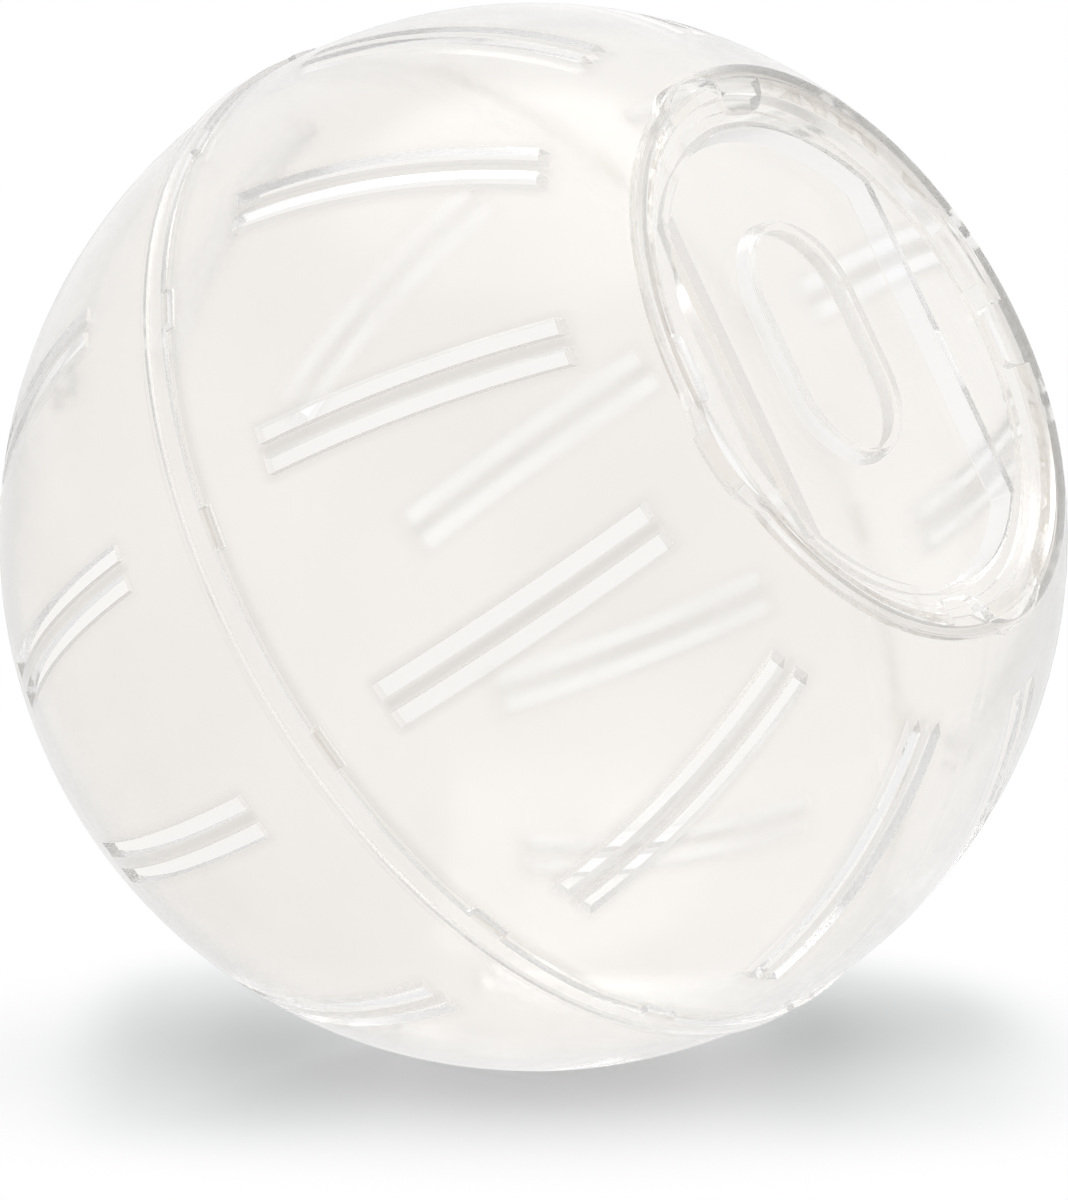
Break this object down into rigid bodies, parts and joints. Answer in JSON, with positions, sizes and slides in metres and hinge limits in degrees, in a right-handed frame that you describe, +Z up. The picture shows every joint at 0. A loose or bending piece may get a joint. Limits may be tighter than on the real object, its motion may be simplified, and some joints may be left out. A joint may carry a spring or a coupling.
{
  "type": "hamster ball",
  "caption": "Clear plastic exercise ball for a small pet: two slotted halves that pull apart at a lapped seam, and a round lid with a sunken grip that lifts out of its collar.",
  "frame": {"origin": "the point where the ball touches the floor, straight below its centre", "axes": "+Z up from the floor, +X level and towards the lid's side, whose axis rises 30 degrees from +X in the XZ plane, +Y level and to the left of +X"},
  "size_m": [0.1768, 0.1796, 0.178],
  "materials": {
    "clear_shell": "gloss",
    "clear_lid": "gloss"
  },
  "bodies": {
    "closed_half": {"closed_half": "clear_shell"},
    "lid_half": {"lid_half": "clear_shell"},
    "lid": {"lid": "clear_lid"}
  },
  "joints": [
    {"name": "halves_pull", "type": "slide", "parent": "closed_half", "child": "lid_half", "axis": [0.866, 0, 0.5], "range_m": [0, 0.06]},
    {"name": "lid_lift", "type": "slide", "parent": "lid_half", "child": "lid", "axis": [0.866, 0, 0.5], "range_m": [0, 0.06]}
  ]
}
